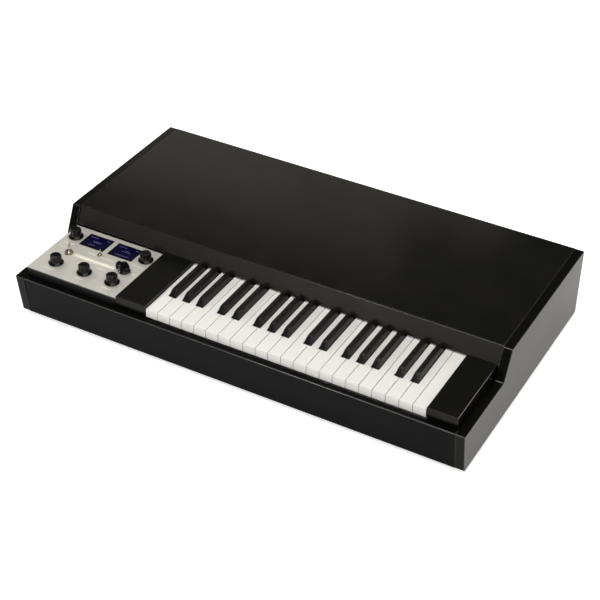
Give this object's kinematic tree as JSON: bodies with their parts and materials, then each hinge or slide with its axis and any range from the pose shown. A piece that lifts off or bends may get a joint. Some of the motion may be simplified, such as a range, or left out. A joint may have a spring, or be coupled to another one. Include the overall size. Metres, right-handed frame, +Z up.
{
  "type": "sample playback keyboard",
  "caption": "Electronic keyboard in a low black case with raised cheeks, sprung black and white keys, and a metal panel with displays, knobs and toggles at the left.",
  "frame": {"origin": "middle of the footprint, at the underside of the feet", "axes": "+X along the keys towards the treble end, -Y towards the player, +Z up"},
  "size_m": [0.853, 0.4988, 0.1372],
  "materials": {
    "lacquered_wood": "near-black semi-gloss lacquer",
    "base_board": "black painted board",
    "brushed_panel": "satin brushed",
    "black_housing": "black, satin",
    "steel_bed": "zinc plated sheet",
    "circuit_board": "green board",
    "foot_rubber": "black rubber",
    "knob_black": "glossy black",
    "toggle_metal": "nickel plated, warm",
    "white_key": "white, satin gloss",
    "black_key": "black, fine grain"
  },
  "bodies": {
    "case": {"left_cheek": "lacquered_wood", "right_cheek": "lacquered_wood", "top_cover": "lacquered_wood", "fascia_panel": "lacquered_wood", "front_rail": "lacquered_wood", "base_panel": "base_board", "back_panel": "lacquered_wood", "left_key_block": "lacquered_wood", "right_key_block": "lacquered_wood", "control_panel": "brushed_panel", "control_housing": "black_housing", "key_bed": "steel_bed", "main_board": "circuit_board", "front_foot": "foot_rubber", "rear_foot": "foot_rubber"},
    "volume_knob": {"volume_knob": "knob_black"},
    "tone_knob": {"tone_knob": "knob_black"},
    "pitch_knob": {"pitch_knob": "knob_black"},
    "track_a_knob": {"track_a_knob": "knob_black"},
    "track_b_knob": {"track_b_knob": "knob_black"},
    "selector_knob": {"selector_knob": "knob_black"},
    "large_toggle": {"large_toggle": "toggle_metal"},
    "small_toggle": {"small_toggle": "toggle_metal"},
    "key_F3": {"key_F3": "white_key"},
    "key_Fs3": {"key_Fs3": "black_key"},
    "key_G3": {"key_G3": "white_key"},
    "key_Gs3": {"key_Gs3": "black_key"},
    "key_A3": {"key_A3": "white_key"},
    "key_As3": {"key_As3": "black_key"},
    "key_B3": {"key_B3": "white_key"},
    "key_C4": {"key_C4": "white_key"},
    "key_Cs4": {"key_Cs4": "black_key"},
    "key_D4": {"key_D4": "white_key"},
    "key_Ds4": {"key_Ds4": "black_key"},
    "key_E4": {"key_E4": "white_key"},
    "key_F4": {"key_F4": "white_key"},
    "key_Fs4": {"key_Fs4": "black_key"},
    "key_G4": {"key_G4": "white_key"},
    "key_Gs4": {"key_Gs4": "black_key"},
    "key_A4": {"key_A4": "white_key"},
    "key_As4": {"key_As4": "black_key"},
    "key_B4": {"key_B4": "white_key"},
    "key_C5": {"key_C5": "white_key"},
    "key_Cs5": {"key_Cs5": "black_key"},
    "key_D5": {"key_D5": "white_key"},
    "key_Ds5": {"key_Ds5": "black_key"},
    "key_E5": {"key_E5": "white_key"},
    "key_F5": {"key_F5": "white_key"},
    "key_Fs5": {"key_Fs5": "black_key"},
    "key_G5": {"key_G5": "white_key"},
    "key_Gs5": {"key_Gs5": "black_key"},
    "key_A5": {"key_A5": "white_key"},
    "key_As5": {"key_As5": "black_key"},
    "key_B5": {"key_B5": "white_key"},
    "key_C6": {"key_C6": "white_key"},
    "key_Cs6": {"key_Cs6": "black_key"},
    "key_D6": {"key_D6": "white_key"},
    "key_Ds6": {"key_Ds6": "black_key"},
    "key_E6": {"key_E6": "white_key"},
    "key_F6": {"key_F6": "white_key"}
  },
  "joints": [
    {"name": "volume_turn", "type": "hinge", "parent": "case", "child": "volume_knob", "pos_m": [-0.3725, -0.2015, 0.1023], "axis": [0, 0, 1], "range_deg": [-150, 150]},
    {"name": "tone_turn", "type": "hinge", "parent": "case", "child": "tone_knob", "pos_m": [-0.313, -0.2015, 0.1023], "axis": [0, 0, 1], "range_deg": [-150, 150]},
    {"name": "pitch_turn", "type": "hinge", "parent": "case", "child": "pitch_knob", "pos_m": [-0.2555, -0.2015, 0.1023], "axis": [0, 0, 1], "range_deg": [-150, 150]},
    {"name": "track_a_turn", "type": "hinge", "parent": "case", "child": "track_a_knob", "pos_m": [-0.3905, -0.1175, 0.1023], "axis": [0, 0, 1], "continuous": true},
    {"name": "track_b_turn", "type": "hinge", "parent": "case", "child": "track_b_knob", "pos_m": [-0.242, -0.1175, 0.1023], "axis": [0, 0, 1], "continuous": true},
    {"name": "selector_turn", "type": "hinge", "parent": "case", "child": "selector_knob", "pos_m": [-0.2555, -0.1642, 0.1023], "axis": [0, 0, 1], "range_deg": [-30, 30]},
    {"name": "large_toggle_throw", "type": "hinge", "parent": "case", "child": "large_toggle", "pos_m": [-0.3715, -0.1655, 0.1041], "axis": [1, 0, 0], "range_deg": [0, 20]},
    {"name": "small_toggle_throw", "type": "hinge", "parent": "case", "child": "small_toggle", "pos_m": [-0.3205, -0.1445, 0.1035], "axis": [1, 0, 0], "range_deg": [0, 26]},
    {"name": "key_F3_press", "type": "hinge", "parent": "case", "child": "key_F3", "pos_m": [-0.15145, -0.0015, 0.095], "axis": [1, 0, 0], "range_deg": [0, 2.4], "stiffness_Nm_per_rad": 1.5, "springref_deg": -3.44},
    {"name": "key_Fs3_press", "type": "hinge", "parent": "case", "child": "key_Fs3", "pos_m": [-0.1433, -0.0015, 0.095], "axis": [1, 0, 0], "range_deg": [0, 2.4], "stiffness_Nm_per_rad": 1.5, "springref_deg": -3.44},
    {"name": "key_G3_press", "type": "hinge", "parent": "case", "child": "key_G3", "pos_m": [-0.12795, -0.0015, 0.095], "axis": [1, 0, 0], "range_deg": [0, 2.4], "stiffness_Nm_per_rad": 1.5, "springref_deg": -3.44},
    {"name": "key_Gs3_press", "type": "hinge", "parent": "case", "child": "key_Gs3", "pos_m": [-0.1165, -0.0015, 0.095], "axis": [1, 0, 0], "range_deg": [0, 2.4], "stiffness_Nm_per_rad": 1.5, "springref_deg": -3.44},
    {"name": "key_A3_press", "type": "hinge", "parent": "case", "child": "key_A3", "pos_m": [-0.10445, -0.0015, 0.095], "axis": [1, 0, 0], "range_deg": [0, 2.4], "stiffness_Nm_per_rad": 1.5, "springref_deg": -3.44},
    {"name": "key_As3_press", "type": "hinge", "parent": "case", "child": "key_As3", "pos_m": [-0.0897, -0.0015, 0.095], "axis": [1, 0, 0], "range_deg": [0, 2.4], "stiffness_Nm_per_rad": 1.5, "springref_deg": -3.44},
    {"name": "key_B3_press", "type": "hinge", "parent": "case", "child": "key_B3", "pos_m": [-0.08095, -0.0015, 0.095], "axis": [1, 0, 0], "range_deg": [0, 2.4], "stiffness_Nm_per_rad": 1.5, "springref_deg": -3.44},
    {"name": "key_C4_press", "type": "hinge", "parent": "case", "child": "key_C4", "pos_m": [-0.05745, -0.0015, 0.095], "axis": [1, 0, 0], "range_deg": [0, 2.4], "stiffness_Nm_per_rad": 1.5, "springref_deg": -3.44},
    {"name": "key_Cs4_press", "type": "hinge", "parent": "case", "child": "key_Cs4", "pos_m": [-0.0479, -0.0015, 0.095], "axis": [1, 0, 0], "range_deg": [0, 2.4], "stiffness_Nm_per_rad": 1.5, "springref_deg": -3.44},
    {"name": "key_D4_press", "type": "hinge", "parent": "case", "child": "key_D4", "pos_m": [-0.03395, -0.0015, 0.095], "axis": [1, 0, 0], "range_deg": [0, 2.4], "stiffness_Nm_per_rad": 1.5, "springref_deg": -3.44},
    {"name": "key_Ds4_press", "type": "hinge", "parent": "case", "child": "key_Ds4", "pos_m": [-0.02, -0.0015, 0.095], "axis": [1, 0, 0], "range_deg": [0, 2.4], "stiffness_Nm_per_rad": 1.5, "springref_deg": -3.44},
    {"name": "key_E4_press", "type": "hinge", "parent": "case", "child": "key_E4", "pos_m": [-0.01045, -0.0015, 0.095], "axis": [1, 0, 0], "range_deg": [0, 2.4], "stiffness_Nm_per_rad": 1.5, "springref_deg": -3.44},
    {"name": "key_F4_press", "type": "hinge", "parent": "case", "child": "key_F4", "pos_m": [0.01305, -0.0015, 0.095], "axis": [1, 0, 0], "range_deg": [0, 2.4], "stiffness_Nm_per_rad": 1.5, "springref_deg": -3.44},
    {"name": "key_Fs4_press", "type": "hinge", "parent": "case", "child": "key_Fs4", "pos_m": [0.0212, -0.0015, 0.095], "axis": [1, 0, 0], "range_deg": [0, 2.4], "stiffness_Nm_per_rad": 1.5, "springref_deg": -3.44},
    {"name": "key_G4_press", "type": "hinge", "parent": "case", "child": "key_G4", "pos_m": [0.03655, -0.0015, 0.095], "axis": [1, 0, 0], "range_deg": [0, 2.4], "stiffness_Nm_per_rad": 1.5, "springref_deg": -3.44},
    {"name": "key_Gs4_press", "type": "hinge", "parent": "case", "child": "key_Gs4", "pos_m": [0.048, -0.0015, 0.095], "axis": [1, 0, 0], "range_deg": [0, 2.4], "stiffness_Nm_per_rad": 1.5, "springref_deg": -3.44},
    {"name": "key_A4_press", "type": "hinge", "parent": "case", "child": "key_A4", "pos_m": [0.06005, -0.0015, 0.095], "axis": [1, 0, 0], "range_deg": [0, 2.4], "stiffness_Nm_per_rad": 1.5, "springref_deg": -3.44},
    {"name": "key_As4_press", "type": "hinge", "parent": "case", "child": "key_As4", "pos_m": [0.0748, -0.0015, 0.095], "axis": [1, 0, 0], "range_deg": [0, 2.4], "stiffness_Nm_per_rad": 1.5, "springref_deg": -3.44},
    {"name": "key_B4_press", "type": "hinge", "parent": "case", "child": "key_B4", "pos_m": [0.08355, -0.0015, 0.095], "axis": [1, 0, 0], "range_deg": [0, 2.4], "stiffness_Nm_per_rad": 1.5, "springref_deg": -3.44},
    {"name": "key_C5_press", "type": "hinge", "parent": "case", "child": "key_C5", "pos_m": [0.10705, -0.0015, 0.095], "axis": [1, 0, 0], "range_deg": [0, 2.4], "stiffness_Nm_per_rad": 1.5, "springref_deg": -3.44},
    {"name": "key_Cs5_press", "type": "hinge", "parent": "case", "child": "key_Cs5", "pos_m": [0.1166, -0.0015, 0.095], "axis": [1, 0, 0], "range_deg": [0, 2.4], "stiffness_Nm_per_rad": 1.5, "springref_deg": -3.44},
    {"name": "key_D5_press", "type": "hinge", "parent": "case", "child": "key_D5", "pos_m": [0.13055, -0.0015, 0.095], "axis": [1, 0, 0], "range_deg": [0, 2.4], "stiffness_Nm_per_rad": 1.5, "springref_deg": -3.44},
    {"name": "key_Ds5_press", "type": "hinge", "parent": "case", "child": "key_Ds5", "pos_m": [0.1445, -0.0015, 0.095], "axis": [1, 0, 0], "range_deg": [0, 2.4], "stiffness_Nm_per_rad": 1.5, "springref_deg": -3.44},
    {"name": "key_E5_press", "type": "hinge", "parent": "case", "child": "key_E5", "pos_m": [0.15405, -0.0015, 0.095], "axis": [1, 0, 0], "range_deg": [0, 2.4], "stiffness_Nm_per_rad": 1.5, "springref_deg": -3.44},
    {"name": "key_F5_press", "type": "hinge", "parent": "case", "child": "key_F5", "pos_m": [0.17755, -0.0015, 0.095], "axis": [1, 0, 0], "range_deg": [0, 2.4], "stiffness_Nm_per_rad": 1.5, "springref_deg": -3.44},
    {"name": "key_Fs5_press", "type": "hinge", "parent": "case", "child": "key_Fs5", "pos_m": [0.1857, -0.0015, 0.095], "axis": [1, 0, 0], "range_deg": [0, 2.4], "stiffness_Nm_per_rad": 1.5, "springref_deg": -3.44},
    {"name": "key_G5_press", "type": "hinge", "parent": "case", "child": "key_G5", "pos_m": [0.20105, -0.0015, 0.095], "axis": [1, 0, 0], "range_deg": [0, 2.4], "stiffness_Nm_per_rad": 1.5, "springref_deg": -3.44},
    {"name": "key_Gs5_press", "type": "hinge", "parent": "case", "child": "key_Gs5", "pos_m": [0.2125, -0.0015, 0.095], "axis": [1, 0, 0], "range_deg": [0, 2.4], "stiffness_Nm_per_rad": 1.5, "springref_deg": -3.44},
    {"name": "key_A5_press", "type": "hinge", "parent": "case", "child": "key_A5", "pos_m": [0.22455, -0.0015, 0.095], "axis": [1, 0, 0], "range_deg": [0, 2.4], "stiffness_Nm_per_rad": 1.5, "springref_deg": -3.44},
    {"name": "key_As5_press", "type": "hinge", "parent": "case", "child": "key_As5", "pos_m": [0.2393, -0.0015, 0.095], "axis": [1, 0, 0], "range_deg": [0, 2.4], "stiffness_Nm_per_rad": 1.5, "springref_deg": -3.44},
    {"name": "key_B5_press", "type": "hinge", "parent": "case", "child": "key_B5", "pos_m": [0.24805, -0.0015, 0.095], "axis": [1, 0, 0], "range_deg": [0, 2.4], "stiffness_Nm_per_rad": 1.5, "springref_deg": -3.44},
    {"name": "key_C6_press", "type": "hinge", "parent": "case", "child": "key_C6", "pos_m": [0.27155, -0.0015, 0.095], "axis": [1, 0, 0], "range_deg": [0, 2.4], "stiffness_Nm_per_rad": 1.5, "springref_deg": -3.44},
    {"name": "key_Cs6_press", "type": "hinge", "parent": "case", "child": "key_Cs6", "pos_m": [0.2811, -0.0015, 0.095], "axis": [1, 0, 0], "range_deg": [0, 2.4], "stiffness_Nm_per_rad": 1.5, "springref_deg": -3.44},
    {"name": "key_D6_press", "type": "hinge", "parent": "case", "child": "key_D6", "pos_m": [0.29505, -0.0015, 0.095], "axis": [1, 0, 0], "range_deg": [0, 2.4], "stiffness_Nm_per_rad": 1.5, "springref_deg": -3.44},
    {"name": "key_Ds6_press", "type": "hinge", "parent": "case", "child": "key_Ds6", "pos_m": [0.309, -0.0015, 0.095], "axis": [1, 0, 0], "range_deg": [0, 2.4], "stiffness_Nm_per_rad": 1.5, "springref_deg": -3.44},
    {"name": "key_E6_press", "type": "hinge", "parent": "case", "child": "key_E6", "pos_m": [0.31855, -0.0015, 0.095], "axis": [1, 0, 0], "range_deg": [0, 2.4], "stiffness_Nm_per_rad": 1.5, "springref_deg": -3.44},
    {"name": "key_F6_press", "type": "hinge", "parent": "case", "child": "key_F6", "pos_m": [0.34205, -0.0015, 0.095], "axis": [1, 0, 0], "range_deg": [0, 2.4], "stiffness_Nm_per_rad": 1.5, "springref_deg": -3.44}
  ]
}
